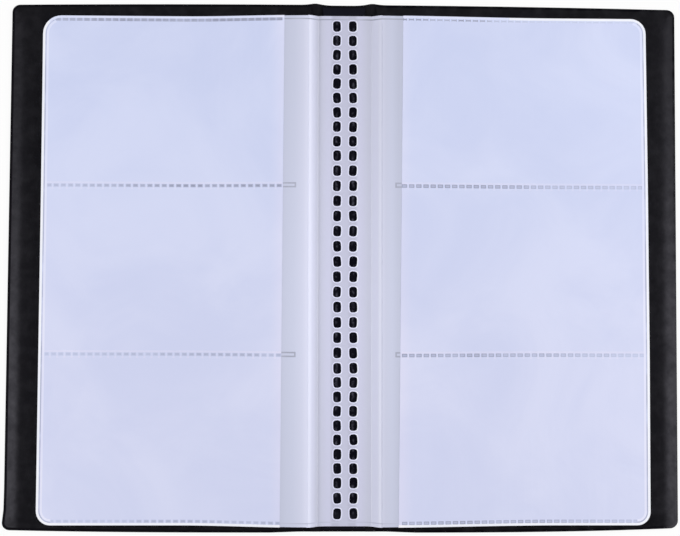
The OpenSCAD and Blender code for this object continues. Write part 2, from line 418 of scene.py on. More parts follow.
# %% Grey board
FLECK = 900.0
FLECK_CLOUDS = (0.35, 0.7)
FIBRE = 5000.0
FIBRE_DEPTH = 0.05 * MM
FIBRE_DULL = 0.1
BOARD_ROUGH = 0.85
BOARD_BROWN = (0.22, 0.2, 0.175)
BOARD_GREY = (0.36, 0.34, 0.31)
BOARDS = ("front_cover", "back_cover", "spine")
board_finish, start = new_finish("flecked_board")
place = start.node("ShaderNodeTexCoord", output="Object")
flecks = noise(start, place, FLECK, detail=6.0)
fibres = noise(start, place, FIBRE)
close_finish(
    board_finish,
    start,
    Base_Color=flecks.between(*FLECK_CLOUDS).blend(BOARD_BROWN, BOARD_GREY),
    Roughness=BOARD_ROUGH + FIBRE_DULL * fibres,
    Normal=bump(start, fibres, FIBRE_DEPTH, strength=0.4),
)
for part in BOARDS:
    board = frame["nodes"][part + "_board"]
    board.data.materials.clear()
    board.data.materials.append(board_finish)
print("boards with a finish:", len(BOARDS))

# %% [markdown]
# The pages are milky polypropylene film. It scatters light like thin milk, so it looks bluish white, a
# little warmer towards the tail and paler along the pocket mouths, and the slack film of a pocket lies
# in soft swirling waves. Real see-through film would show twenty layers and render slowly, so the film
# is opaque, and the light and shade of its waves are painted into its colour, over a shallow bump.

# %% Milky films
WAVES = 20.0
SWIRL = 0.8
WAVE_CLOUDS = (0.3, 0.7)
WAVE_DULL = 0.12
BUCKLE = 0.9 * MM
WARM_TO_COOL = (-60 * MM, 80 * MM)
WARM_MILK = (1.03, 1.0, 0.98)
UNTINTED = (1.0, 1.0, 1.0)
PALE_MOUTH = (1.075, 1.038, 1.014)
PALE_REACH = (23 * MM, 29 * MM)
MOUTH_SHIFT = 1.4 * MM
mouth_middle = block_middle.x - MOUTH_SHIFT


def milky_film(name, low, high, rough, warmth=WARM_MILK):
    """Film between two colours by its painted wave shade. At the tail both are multiplied by a warmth.
    """
    material, start = new_finish(name)
    place, across, along = own_places(start)
    waves = noise(start, place, WAVES, detail=4.0, rough=0.55, swirl=SWIRL)
    # Painted light and shade of the waves: the colour goes from low to high with them.
    wave_shaded_milk = waves.between(*WAVE_CLOUDS).blend(low, high)
    warm = along.between(*WARM_TO_COOL).blend(warmth, UNTINTED)
    pale = abs(across - mouth_middle).between(*PALE_REACH).blend(PALE_MOUTH, UNTINTED)
    return close_finish(
        material,
        start,
        Base_Color=wave_shaded_milk.tinted(warm).tinted(pale),
        Roughness=rough + WAVE_DULL * (waves - 0.5),
        Normal=bump(start, waves, BUCKLE, strength=0.6),
    )


pocket_film = milky_film("slack_film", (0.612, 0.664, 0.9), (0.668, 0.714, 0.935), rough=0.4)
taut_film = milky_film("taut_film", (0.71, 0.745, 0.96), (0.77, 0.8, 0.98), rough=0.35)
# Painted highlight of the weld relief, beside the inner weld lines.
weld_lip_highlight = milky_film("weld_lip_highlight", (0.66, 0.69, 0.915), (0.71, 0.735, 0.945), rough=0.38)
fused_edge = milky_film(
    "fused_edge", (0.86, 0.88, 0.97), (0.92, 0.93, 0.99), rough=0.35, warmth=UNTINTED
)

# %% [markdown]
# Where the film is welded it is pressed thin and looks greyer. The heat was not even, so a weld fades
# here and there, and noise with clouds of about a centimetre takes it from its own grey towards the
# film's colour. The toothed wheel pressed less towards the fore-edges, and least on the tail half of
# the front leaves, so there its dashes thin out. The row at the head of the front leaves keeps its
# depth, and on the back leaves it thins out soonest. The hem across the gutter thins out at the tail.

# %% Welds
FADE_CLOUD = 80.0
FADE_LIMITS = (0.4, 0.72)
GRIT = 1500.0
GRIT_FADE = 0.4
GRIT_DULL = 0.2
GRIT_DEPTH = 0.02 * MM
WELD_ROUGH = 0.45
THIN_FROM = 50 * MM
THIN_TO = 125 * MM
HEAD_THIN_TO = 80 * MM
FRONT_TAIL_THIN = 0.6
FRONT_TAIL_SOFT = 10 * MM
HEM_THINS = (60 * MM, 95 * MM)
SLACK_MILK = (0.64, 0.69, 0.92)
MARGIN_MILK = (0.57, 0.585, 0.73)
DEEP_GREY = (0.31, 0.33, 0.46)
FLOOR_GREY = (0.45, 0.475, 0.645)
HEAD_GREY = (0.33, 0.35, 0.48)
SEAM_GREY = (0.43, 0.455, 0.62)
HEM_GREY = (0.38, 0.395, 0.5)


def weld_finish(name, grey, film, patchy, thins=0.0, tail_thins=0.0, thin_to=THIN_TO):
    """A weld that fades in patches to the film's colour, and thins out where it was pressed less."""
    material, start = new_finish(name)
    place, across, along = own_places(start)
    clouds = noise(start, place, FADE_CLOUD, detail=3.0, rough=0.6)
    grit = noise(start, place, GRIT)
    fade = clouds.between(*FADE_LIMITS) + GRIT_FADE * (grit - 0.5)
    outward = abs(across - mouth_middle).between(THIN_FROM, thin_to)
    front = (0 - across).between(0.0, FRONT_TAIL_SOFT)
    front_tail = front * (0 - along).between(0.0, FRONT_TAIL_SOFT)
    thinned = (1 - thins * outward) * (1 - thins * FRONT_TAIL_THIN * front_tail)
    tail = 1 - tail_thins * (0 - along).between(*HEM_THINS)
    pressed = (1 - patchy * fade) * thinned * tail
    return close_finish(
        material,
        start,
        Base_Color=pressed.blend(film, grey),
        Roughness=WELD_ROUGH + GRIT_DULL * (grit - 0.5),
        Normal=bump(start, grit, GRIT_DEPTH),
    )


weld_deep = weld_finish("weld_deep", DEEP_GREY, SLACK_MILK, patchy=0.35, thins=0.55)
weld_floor = weld_finish("weld_floor", FLOOR_GREY, SLACK_MILK, patchy=0.35, thins=0.55)
weld_head = {
    "front": weld_finish("front_head_weld", HEAD_GREY, SLACK_MILK, patchy=0.35),
    "back": weld_finish(
        "back_head_weld", HEAD_GREY, SLACK_MILK, patchy=0.5, thins=0.8, thin_to=HEAD_THIN_TO
    ),
}
weld_seam = weld_finish("weld_seam", SEAM_GREY, SLACK_MILK, patchy=0.75)
weld_hem = weld_finish("weld_hem", HEM_GREY, MARGIN_MILK, patchy=0.7, tail_thins=0.75)

# %% [markdown]
# Near the gutter there is only the middle sheet, with no pocket film on it, and it looks greyer. Its
# colour carries painted light and shade: grey beside the mouths, with painted shade right at them from
# the film's edge, a painted highlight along the crease that all leaves share, painted shade in the fold
# at the foot of the slope, and grey again between the holes. On each side, one ramp over the distance
# from the middle of the gutter paints this on all pieces, so that they match where they meet. Half way
# along the gutter a painted highlight makes the film a little brighter, and painted shade dims both
# ends. Fine streaks run along it, as the film was drawn.

# %% Sheet and gutter films
SHADE_SHIFT = 0.3 * MM
SHADE_REACH = 25 * MM
# Painted light and shade across the gutter: pairs of a distance in mm and a brightness.
STRIP_LIGHT_AND_SHADE = ((0, 0.555), (1.4, 0.555), (2.2, 0.51), (4.4, 0.51), (5.6, 0.62), (7, 0.615))
RISE_LIGHT_AND_SHADE = {
    "front": ((9.4, 0.61), (10.4, 0.55), (10.9, 0.56), (11.9, 0.65), (13.2, 0.735), (14.4, 0.745)),
    "back": ((9.4, 0.615), (10.5, 0.635), (11.8, 0.68), (13.2, 0.69), (14.4, 0.68)),
}
MARGIN_LIGHT_AND_SHADE = {
    "front": ((16.5, 0.665), (20, 0.605), (23, 0.58), (24.4, 0.56)),
    "back": ((16.5, 0.6), (19, 0.59), (21.5, 0.55), (25, 0.54)),
}
GUTTER_STREAKS = (650.0, 5.0, 1.0)
STREAK_SHIFT = 0.025
STREAK_DULL = 0.15
STREAK_DEPTH = 0.03 * MM
GUTTER_TINTS = ((9, 1.012, 1.28), (15, 1.022, 1.25), (18, 1.03, 1.28), (25, 1.045, 1.31))
# Painted highlight half way along the gutter, and painted shade towards both ends.
BRIGHT_PLACE = -15 * MM
BRIGHT_REACH = 110 * MM
DIM_ENDS = (0.965, 0.965, 0.965)
BRIGHT_MIDDLE = (1.03, 1.03, 1.03)
shade_middle = block_middle.x - SHADE_SHIFT


def gutter_milk(at, value):
    """The bluish grey of the gutter film at a brightness, tinted by its distance from the middle."""
    green, blue = next(tint for reach, *tint in GUTTER_TINTS if at <= reach)
    return (value, green * value, min(blue * value, 1.0))


def gutter_shaded(name, side, brighter=1.0, rough=0.4):
    """Film painted with light and shade by its distance from the gutter's middle, and streaked along it.
    """
    material, start = new_finish(name)
    place, across, along = own_places(start)
    drawn = start.node("ShaderNodeMapping", {}, {"Vector": place, "Scale": GUTTER_STREAKS})
    streaks = noise(start, drawn, 1.0, detail=3.0)
    distance = abs(across - shade_middle) * (1 / SHADE_REACH) + STREAK_SHIFT * (streaks - 0.5)
    painted_shading = STRIP_LIGHT_AND_SHADE + RISE_LIGHT_AND_SHADE[side] + MARGIN_LIGHT_AND_SHADE[side]
    stops = [(at * MM / SHADE_REACH, gutter_milk(at, value * brighter)) for at, value in painted_shading]
    length_shade = abs(along - BRIGHT_PLACE).between(0.0, BRIGHT_REACH).blend(BRIGHT_MIDDLE, DIM_ENDS)
    return close_finish(
        material,
        start,
        Base_Color=distance.ramp(stops).tinted(length_shade),
        Roughness=rough + STREAK_DULL * (streaks - 0.5),
        Normal=bump(start, streaks, STREAK_DEPTH),
    )


gutter_shaded_film = {side: gutter_shaded(side + "_gutter_milk", side) for side in SIDES}
# The burr is the front gutter colour made paler, as a painted highlight.
burr_highlight = gutter_shaded("burr_highlight", "front", brighter=1.45, rough=0.35)
print("brightest place of the gutter at y in mm:", *in_mm(BRIGHT_PLACE))

# %% [markdown]
# Most pieces start as one flat panel, as the real ones start as a cut sheet. A solid block would have
# to be shaped on all its sides, so the panel is cut to size first, its corners are rounded, lines are
# scored into it and its outline is stepped in rings. It gets its thickness last.

# %% Sheet work
TOUCH = 1e-8
CORNER_MERGE = 0.3 * MM


def everything(bm):
    """All parts of a mesh."""
    return bm.verts[:] + bm.edges[:] + bm.faces[:]


def add_panel(bm, low_x, high_x, low_y, high_y, height):
    """Adds one flat face that looks up."""
    corners = bmesh.ops.create_grid(bm, x_segments=1, y_segments=1, size=0.5)["verts"]
    bmesh.ops.scale(bm, vec=(high_x - low_x, high_y - low_y, 1), verts=corners)
    middle = ((low_x + high_x) / 2, (low_y + high_y) / 2, height)
    bmesh.ops.translate(bm, vec=middle, verts=corners)
    return corners[0].link_faces[0]


def flat_panel(low_x, high_x, low_y, high_y, height=0.0):
    """A new mesh with one flat face that looks up."""
    bm = bmesh.new()
    add_panel(bm, low_x, high_x, low_y, high_y, height)
    return bm


def round_corners(bm, chosen, radius, segments):
    """Rounds the corners of a flat panel whose places are chosen."""
    corners = [vert for vert in bm.verts if chosen(vert.co)]
    bmesh.ops.bevel(
        bm, geom=corners, offset=radius, segments=segments, profile=0.5, affect="VERTICES", material=-1
    )


def score(bm, direction, places):
    """Cuts straight lines into the faces, across a direction."""
    across = Vector(direction)
    for place in places:
        bmesh.ops.bisect_plane(
            bm, geom=everything(bm), dist=TOUCH, plane_co=across * place, plane_no=across
        )


def widest_face(bm):
    """The face with the largest area."""
    return max(bm.faces, key=lambda face: face.calc_area())


def inset(bm, face, inward, rise=0.0):
    """Insets a face and raises it along its normal. Gives back the ring of faces round it."""
    made = bmesh.ops.inset_region(
        bm, faces=[face], thickness=inward, depth=rise, use_even_offset=True, use_boundary=True
    )
    return made["faces"]


def step_in(bm, steps, finish=0):
    """Insets the widest face again and again. Each step goes inwards and rises along its normal."""
    for inward, rise in steps:
        widest = widest_face(bm)
        for face in inset(bm, widest, inward, rise):
            face.material_index = finish
        bmesh.ops.remove_doubles(bm, verts=widest.verts[:], dist=CORNER_MERGE)


def thicken(bm, depth, lowest=-1.0):
    """Gives a sheet its thickness, downwards, but not below a lowest height. The result is closed."""
    copied = bmesh.ops.extrude_face_region(bm, geom=bm.faces[:])["geom"]
    for vert in [item for item in copied if isinstance(item, bmesh.types.BMVert)]:
        vert.co.z = max(vert.co.z - depth, lowest)
    bmesh.ops.recalc_face_normals(bm, faces=bm.faces)


print("corners closer than this are merged, in mm:", *in_mm(CORNER_MERGE))

# %% [markdown]
# A shape is drawn for the back cover's side and mirrored for the front cover's side, and a mirrored
# mesh has its faces turned round so that they still look outwards. Then it becomes a Blender object
# with its finishes. The object stays at the origin and its mesh holds its place, as with the CAD
# pieces, so that patterns run on from one piece to the next.


# %% From a sheet to a piece
def lay_on_side(bm, side, middle=(0, 0, 0)):
    """Mirrors a shape to the side that it belongs to and moves it to its middle."""
    if SIDES[side] < 0:
        bmesh.ops.scale(bm, vec=(-1, 1, 1), verts=bm.verts)
        bmesh.ops.reverse_faces(bm, faces=bm.faces)
    bmesh.ops.translate(bm, vec=middle, verts=bm.verts)


def make_piece(name, bm, finishes, sharp=40):
    """Turns a mesh into an object with its finishes."""
    mesh = bpy.data.meshes.new(name)
    bm.to_mesh(mesh)
    bm.free()
    for finish in finishes:
        mesh.materials.append(finish)
    mesh.shade_smooth()
    mesh.set_sharp_from_angle(angle=math.radians(sharp))
    piece = add_object(name, mesh)
    return piece


def count_faces(*pieces):
    """How many faces each piece has."""
    return {piece.name: len(piece.data.polygons) for piece in pieces}


print("sides and their direction across the album:", SIDES)

# %% [markdown]
# A welded cover never has quite straight edges. Head and tail bow out a little towards the hinges, the
# fore-edges lean, the front cover flares at its tail corner, and at the head the squeezed vinyl of each
# hinge stands out in a bump. One function moves the outline of every cover piece, so that skin, lining
# and hinge strip still meet. It stretches a piece along Y by an amount that depends on the distance
# from the spine.

# %% Outline of the cover
HEAD_BOW = {"front": (0.05, 0.33, -0.6), "back": (0.05, 0.38, -0.72)}
TAIL_BOW = {"front": (0.5, 0.9, -0.15), "back": (0.5, 0.95, -0.85)}
BOW_FROM = {"head": -2 * MM, "tail": 5 * MM}
BOW_OVER = {"head": 4 * MM, "tail": 14 * MM}
BOW_POWER = {"head": 2, "tail": 3}
LEAN = {"front": (-0.4, 0.4), "back": (0.75, 0.05)}
FLARE = {"front": 0.8 * MM, "back": 0.0}
FLARE_FROM = 0.9
BUMP_OUT = 0.55 * MM
BUMP_WIDTH = 3.3 * MM
BUMP_PLACE = 6
COVER_ROWS = 25
COVER_COLUMNS = 14
HINGE_STEP = BUMP_WIDTH / 3
HINGE_STEPS = range(-6, 9)
joint_place = {joint["name"]: Vector(joint["pos_m"]) for joint in frame["joints"]}
hinge_x = joint_place["back_cover_hinge"].x
cover_edge = cad_high.x
cover_half = cad_high.y


def smooth(t):
    """0 at 0, 1 at 1, smooth between, and level beyond both."""
    t = min(max(t, 0.0), 1.0)
    return t * t * (3 - 2 * t)


def evenly(low, high, count):
    """Places between two ends, without the ends."""
    return [low + (high - low) * i / (count + 1) for i in range(1, count + 1)]


def bow_at(beyond, end, side):
    """How far the head or tail edge bows out at a distance beyond the hinge."""
    bow = HEAD_BOW if end == "head" else TAIL_BOW
    spine, root, corner = (value * MM for value in bow[side])
    outward = max(0.0, beyond / (cover_edge - hinge_x)) ** BOW_POWER[end]
    near = smooth((beyond - BOW_FROM[end]) / BOW_OVER[end])
    return spine + (root - spine) * near + (corner - root) * outward


def bow_cover(bm, side):
    """Bows the head and tail of a cover piece, leans its fore-edge and adds the bumps of the hinges."""
    head_lean, tail_lean = (value * MM for value in LEAN[side])
    for vert in bm.verts:
        reach = abs(vert.co.y) / cover_half
        beyond = abs(vert.co.x) - hinge_x
        outward = max(0.0, beyond / (cover_edge - hinge_x))
        lean = tail_lean + (head_lean - tail_lean) * (0.5 + vert.co.y / (2 * cover_half))
        if vert.co.y > 0:
            squeezed = BUMP_OUT * math.exp(-((beyond / BUMP_WIDTH) ** 2))
            vert.co.y += bow_at(beyond, "head", side) * reach + squeezed * reach ** BUMP_PLACE
        else:
            lean += FLARE[side] * smooth((reach - FLARE_FROM) / (1 - FLARE_FROM))
            vert.co.y -= bow_at(beyond, "tail", side) * reach
        vert.co.x += lean * outward


def score_cover(bm, low, high):
    """Scores a cover piece, closer beside the hinges, so that its edges can bow."""
    score(bm, (0, 1, 0), evenly(low.y, high.y, COVER_ROWS))
    near = [sign * (hinge_x + step * HINGE_STEP) for sign in (-1, 1) for step in HINGE_STEPS]
    far = evenly(low.x, high.x, COVER_COLUMNS)
    score(bm, (1, 0, 0), [x for x in near + far if low.x < x < high.x])


print("hinge axis at x in mm:", *in_mm(hinge_x))

# %% [markdown]
# The outer skin of a cover is flat leatherette with a rounded edge. Where it is welded to the lining, a
# narrow groove runs round it. A bevel would round the edge but not make the groove, so the outline is
# stepped inwards in rings, from the weld at the top, round the edge and across the groove to the flat
# outside.

# %% Outer skins
SKIN_RINGS = (
    (0.02, 0.28), (0.08, 0.18), (0.2, 0.14), (0.7, 0.0),
    (0.2, -0.1), (0.35, 0.0), (0.2, 0.1), (1.0, 0.0),
)
CORNER_SEGMENTS = 8
COVER_CORNER = 3.1 * MM


def in_metres(rings):
    """Rings that are written in millimetres."""
    return [(inward * MM, rise * MM) for inward, rise in rings]


def outer_skin(low, high, corner, side):
    """Closed skin between two corners of its box."""
    bm = flat_panel(low.x, high.x, low.y, high.y, high.z)
    bmesh.ops.reverse_faces(bm, faces=bm.faces)
    if corner:
        round_corners(bm, lambda place: place.x > high.x - corner, corner, CORNER_SEGMENTS)
    step_in(bm, in_metres(SKIN_RINGS))
    bmesh.ops.holes_fill(bm, edges=[edge for edge in bm.edges if edge.is_boundary])
    score_cover(bm, low, high)
    bmesh.ops.recalc_face_normals(bm, faces=bm.faces)
    bow_cover(bm, side)
    return bm


skins = []
for side in SIDES:
    low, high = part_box("back_cover_skin")
    bm = outer_skin(low, high, COVER_CORNER, side)
    lay_on_side(bm, side)
    skin = make_piece(side + "_cover_leatherette", bm, [leatherette])
    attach(skin, side + "_cover")
    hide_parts(side + "_cover_skin")
    skins.append(skin)
low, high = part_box("spine_skin")
spine_bm = outer_skin(low, high, 0, "front")
spine_skin = make_piece("spine_leatherette", spine_bm, [leatherette])
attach(spine_skin, "spine")
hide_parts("spine_skin")
print(count_faces(*skins, spine_skin))

# %% [markdown]
# The lining is stretched over the board, so its border is a narrow welded flange and a pillow slope
# that climbs onto the board and rounds off. This slope carries the soft shine along the edges of the
# cover. Rings make it too. Beside a hinge the board reaches closer to the edge, so there the rings are
# pressed together.

# %% Linings
FLANGE_RINGS = ((0.02, 0.24), (0.12, 0.14), (0.66, 0.0), (0.3, 0.07))
PILLOW_RINGS = (
    (0.5, 0.17), (0.6, 0.22), (0.7, 0.26), (0.7, 0.24), (0.7, 0.19), (0.5, 0.1),
    (0.6, 0.075), (0.7, 0.055), (0.8, 0.03), (0.9, 0.01), (1.0, 0.0),
)
GRAINED, WELDED = range(2)
LINING_THICK = 0.15 * MM
LINING_LAP = 0.02 * MM
HINGE_REACH = 6.5 * MM
HINGE_PRESS = 0.2


def press_to_hinge(bm, root, toward):
    """Draws the rings beside a hinge together, so that the lining clears the board there."""
    near = [vert for vert in bm.verts if (vert.co.x - root) * toward < HINGE_REACH]
    bmesh.ops.scale(bm, vec=(HINGE_PRESS, 1, 1), verts=near, space=Matrix.Translation((-root, 0, 0)))


def lining_shell(low, high, corner, hinges, side):
    """Lining in its box, pressed to its hinges. Each hinge is a place and a direction."""
    bm = flat_panel(low.x, high.x, low.y, high.y, low.z)
    if corner:
        round_corners(bm, lambda place: place.x > high.x - corner, corner, CORNER_SEGMENTS)
    step_in(bm, in_metres(FLANGE_RINGS), WELDED)
    step_in(bm, in_metres(PILLOW_RINGS), GRAINED)
    for root, toward in hinges:
        press_to_hinge(bm, root, toward)
    score_cover(bm, low, high)
    thicken(bm, LINING_THICK, low.z - LINING_LAP)
    bow_cover(bm, side)
    return bm


linings = []
for side in SIDES:
    low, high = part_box("back_cover_lining")
    bm = lining_shell(low, high, COVER_CORNER, [(low.x, 1)], side)
    lay_on_side(bm, side)
    lining = make_piece(side + "_cover_inside", bm, [lining_vinyl, flange_vinyl[side]])
    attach(lining, side + "_cover")
    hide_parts(side + "_cover_lining")
    linings.append(lining)
low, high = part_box("spine_lining")
spine_bm = lining_shell(low, high, 0, [(low.x, 1), (high.x, -1)], "front")
spine_inside = make_piece("spine_inside", spine_bm, [spine_vinyl, pressed_vinyl])
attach(spine_inside, "spine")
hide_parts("spine_lining")
print(count_faces(*linings, spine_inside))

# %% [markdown]
# A living hinge is a strip where skin and lining are pressed together without a board. On the real
# album it bends along a bead in its middle. The strip has many lines across its width and along it.

# %% Hinge strips
HINGE_LINES = 15
HINGE_ROWS = 40
HINGE_THICK = 0.7 * MM
BEAD_RISE = 0.16 * MM
BEAD_NARROW = 6


def hinge_strip(low, high, side):
    """A strip in its box, with a bead along its middle."""
    bm = flat_panel(low.x, high.x, low.y, high.y)
    score(bm, (1, 0, 0), evenly(low.x, high.x, HINGE_LINES))
    score(bm, (0, 1, 0), evenly(low.y, high.y, HINGE_ROWS))
    middle = (low + high) / 2
    for vert in bm.verts:
        across = (vert.co.x - middle.x) / (high.x - low.x) * 2
        bead = BEAD_RISE * math.cos(across * math.pi / 2) ** BEAD_NARROW
        vert.co.z = middle.z + HINGE_THICK / 2 + bead
    thicken(bm, HINGE_THICK)
    bow_cover(bm, side)
    return bm


cover_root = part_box("back_cover_skin")[0]
strip_from, strip_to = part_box("back_hinge")
strip_to.x = cover_root.x
strips = []
for side, sign in SIDES.items():
    bm = hinge_strip(strip_from, strip_to, side)
    lay_on_side(bm, side)
    strip = make_piece(side + "_hinge_strip", bm, [hinge_vinyl], sharp=60)
    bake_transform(strip)
    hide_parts(side + "_hinge")
    strips.append(strip)
print(count_faces(*strips))

# %% [markdown]
# The fused strip has two rows of punched holes, each a rounded rectangle with a raised burr, whose paler
# colour is a painted highlight. Cutting 68 holes with booleans leaves long thin triangles, so the strip
# is made of cells, one to a hole. Each cell is a face whose inset is moved onto the hole's outline. Two
# more insets make the burr, and the rest is deleted. No two punched holes are quite alike, so each is
# turned a little, from a fixed seed.

# %% A punched hole
HOLE_HALF = Vector((1.58, 2.18)) * MM
BURR = 0.42 * MM
BURR_RISE = 0.05 * MM
BURR_STEPS = ((0.6, 1.0), (0.4, -0.5))
HOLE_SQUARENESS = 3.2
CELL_CUTS = 5
PUNCH_TURN = 0.09
FILM, EDGE, LINE = range(3)
wander = random.Random(7)


def hole_outline(direction, half):
    """Point on a rounded rectangle, seen from its middle in a direction."""
    power = HOLE_SQUARENESS
    share = abs(direction.x / half.x) ** power + abs(direction.y / half.y) ** power
    return direction * share ** (-1 / power)


def punch_cell(bm, low, high, hole, top):
    """One cell of the strip, from its low corner to its high one, with a hole and its burr."""
    face = add_panel(bm, low.x, high.x, low.y, high.y, top)
    bmesh.ops.bisect_edges(bm, edges=face.edges[:], cuts=CELL_CUTS)
    inset(bm, face, BURR)
    half = HOLE_HALF + Vector((BURR, BURR))
    turn = Matrix.Rotation(wander.uniform(-PUNCH_TURN, PUNCH_TURN), 2)
    for vert in face.verts:
        vert.co.xy = turn @ hole_outline((vert.co.xy - hole).normalized(), half) + hole
    for inward, rise in BURR_STEPS:
        for burr_face in inset(bm, face, BURR * inward, BURR_RISE * rise):
            burr_face.material_index = EDGE
    bmesh.ops.delete(bm, geom=[face], context="FACES_ONLY")


print("hole in mm:", in_mm(*(2 * HOLE_HALF)))

# %% [markdown]
# The holes of a row were punched in groups, each with its own pitch, and both rows lean a little. So
# the places are counted group by group from the head, and every hole slips a little. Thickening the
# strip gives all holes their walls. The weld lines at head and tail run across the strip. They are
# scored and given the weld's finish, because they are too fine to show as relief.

# %% Punched gutter strip
FIRST_HOLE = 97.48 * MM
HOLE_GROUPS = ((9, 5.8 * MM), (14, 6.07 * MM), (8, 5.66 * MM), (2, 6.02 * MM))
ROW_X = 3.19 * MM
ROW_LEAN = (-0.07 * MM, 0.38 * MM)
CELL_MERGE = 1e-6
PUNCH_SLIP = 0.07 * MM
STRIP_ENDS = Vector((-0.7, 0.4)) * MM
WELD_ROWS = [y * MM for y in (99.8, 32.75, -34.3, -99.7)]
END_ROWS = (WELD_ROWS[0], WELD_ROWS[-1])
WELD_LINE = 0.5 * MM


def hole_places():
    """Places of the holes along a row, from head to tail."""
    places = [FIRST_HOLE]
    for count, pitch in HOLE_GROUPS:
        for _ in range(count):
            places.append(places[-1] - pitch)
    return places


def both_edges(rows, half):
    """Places of the two edges of each row."""
    return [row + edge for row in rows for edge in (-half, half)]


def mark_end_welds(bm, finish, rows):
    """Scores the weld lines at head and tail into a flat film and gives them a finish."""
    score(bm, (0, 1, 0), both_edges(rows, WELD_LINE / 2))
    for face in [face for face in bm.faces if face.material_index == FILM]:
        y = face.calc_center_median().y
        if min(abs(y - row) for row in rows) < WELD_LINE / 2:
            face.material_index = finish


half_w = (strip_high.x - strip_low.x) / 2
half_l = (strip_high.y - strip_low.y) / 2
places = hole_places()
seams = [(upper + lower) / 2 for upper, lower in zip(places, places[1:])]
cell_ends = [half_l + STRIP_ENDS[1], *seams, STRIP_ENDS[0] - half_l]
head_lean, tail_lean = ROW_LEAN
bm = bmesh.new()
for row in (-1, 1):
    inner, outer = sorted((0.0, row * half_w))
    for i, y in enumerate(places):
        lean = tail_lean + (head_lean - tail_lean) * (0.5 + y / (2 * half_l))
        slip = Vector((wander.uniform(-1, 1), wander.uniform(-1, 1))) * PUNCH_SLIP
        hole = Vector((row * ROW_X + lean, y)) + slip
        cell_low = Vector((inner, cell_ends[i + 1]))
        cell_high = Vector((outer, cell_ends[i]))
        punch_cell(bm, cell_low, cell_high, hole, strip_high.z)
bmesh.ops.remove_doubles(bm, verts=bm.verts, dist=CELL_MERGE)
mark_end_welds(bm, LINE, (END_ROWS[0] + STRIP_ENDS[1], END_ROWS[1] + STRIP_ENDS[0]))
thicken(bm, strip_high.z - strip_low.z)
bmesh.ops.translate(bm, vec=block_middle, verts=bm.verts)
strip = make_piece("punched_gutter", bm, [gutter_shaded_film["front"], burr_highlight, weld_hem])
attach(strip, "spine")
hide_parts("gutter_strip")
print(count_faces(strip), "holes:", 2 * len(places))

# %% [markdown]
# The sheets were not cut quite square either. Near the crease they are a little longer than at the
# fore-edge, and the fore-edges lean and bow a little. One function moves every page piece, so that the
# slope, the sheets and the films keep one outline. It takes the distance from the middle of the gutter.

# %% Outline of the pages
PAGE_CUT = {"front": (0.16, -0.8, 1.05, 0.12, 50), "back": (0.2, -0.52, 1.05, 0.14, 70)}
FORE_LEAN = {"front": 0.5 * MM, "back": 0.2 * MM}
FORE_BOW = {"front": -0.1 * MM, "back": 0.35 * MM}
crest_x = joint_place["back_leaf_1_turn"].x - block_middle.x
crest_height = joint_place["front_leaf_1_turn"].z
pocket_low, pocket_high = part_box("back_leaf_1_pockets")
leaf_edge = pocket_high.x - block_middle.x
leaf_half = (pocket_high.y - pocket_low.y) / 2
leaf_thick = pocket_high.z - pocket_low.z


def cut_page(bm, side):
    """Moves the head, tail and fore-edge of a page piece to where they were cut."""
    head_root, head_end, tail_root, tail_end, length = (value * MM for value in PAGE_CUT[side])
    head_cut = (head_root, head_end, STRIP_ENDS[1])
    tail_cut = (tail_root, tail_end, -STRIP_ENDS[0])
    for vert in bm.verts:
        outward = smooth((vert.co.x - crest_x) / length)
        inward = smooth((crest_x - vert.co.x) / (crest_x - half_w))
        root, end, gutter = head_cut if vert.co.y > 0 else tail_cut
        longer = root + (end - root) * outward + (gutter - root) * inward
        lean = FORE_LEAN[side] * smooth(0.5 + vert.co.y / (2 * leaf_half))
        bow = FORE_BOW[side] * (1 - (vert.co.y / leaf_half) ** 2)
        vert.co.x += (bow - lean) * max(0.0, vert.co.x - crest_x) / (leaf_edge - crest_x)
        vert.co.y *= 1 + longer / leaf_half


print("crease from the middle of the gutter in mm:", *in_mm(crest_x))

# %% [markdown]
# From the strip the films of all leaves rise together to a crease, which the leaves turn on, and end in
# a lip just under it. A pressed line marks the foot of the rise. A rigid piece would tear off the strip
# when a cover closes, because the crease goes with the cover and the strip stays on the spine. This film
# is attached to no body and stays where it is laid.

# %% Sloping films
SLOPE_FLAT = 2.6 * MM
SLOPE_THICK = 0.3 * MM
SLOPE_UNDER = 0.06 * MM
SLOPE_LINES = 18
SLOPE_ROWS = 20
RISE_SHARES = (0.55, 0.45)
FOOT_LINE = {"front": 0.8 * MM, "back": 0.4 * MM}
FOOT_DEPTH = {"front": 0.12 * MM, "back": 0.04 * MM}
SLOPE_LIP = 0.12 * MM
SHEET, WELD = range(2)


def rise_height(x, foot, low_z, crest_z):
    """Height of the sloping film: flat, then a rise that rounds off at the crease."""
    t = min(max((x - foot) / (crest_x - foot), 0.0), 1.0)
    straight_share, smooth_share = RISE_SHARES
    straight = 1.5 * t - 0.5 * t ** 3
    return low_z + (crest_z - low_z) * (straight_share * straight + smooth_share * smooth(t))


def sloping_film(side):
    """The film from the strip to the crease, drawn for the back side."""
    foot = half_w + SLOPE_FLAT
    line = FOOT_LINE[side]
    bm = flat_panel(half_w, crest_x + SLOPE_LIP, -half_l, half_l)
    foot_edges = [foot - line / 2, foot + line / 2]
    score(bm, (1, 0, 0), evenly(half_w, crest_x, SLOPE_LINES) + foot_edges + [crest_x])
    score(bm, (0, 1, 0), evenly(-half_l, half_l, SLOPE_ROWS))
    mark_end_welds(bm, WELD, END_ROWS)
    for vert in bm.verts:
        dip = FOOT_DEPTH[side] * math.exp(-(((vert.co.x - foot) / line) ** 2))
        vert.co.z = rise_height(vert.co.x, foot, strip_high.z, crest_height - SLOPE_UNDER) - dip
    thicken(bm, SLOPE_THICK)
    cut_page(bm, side)
    return bm


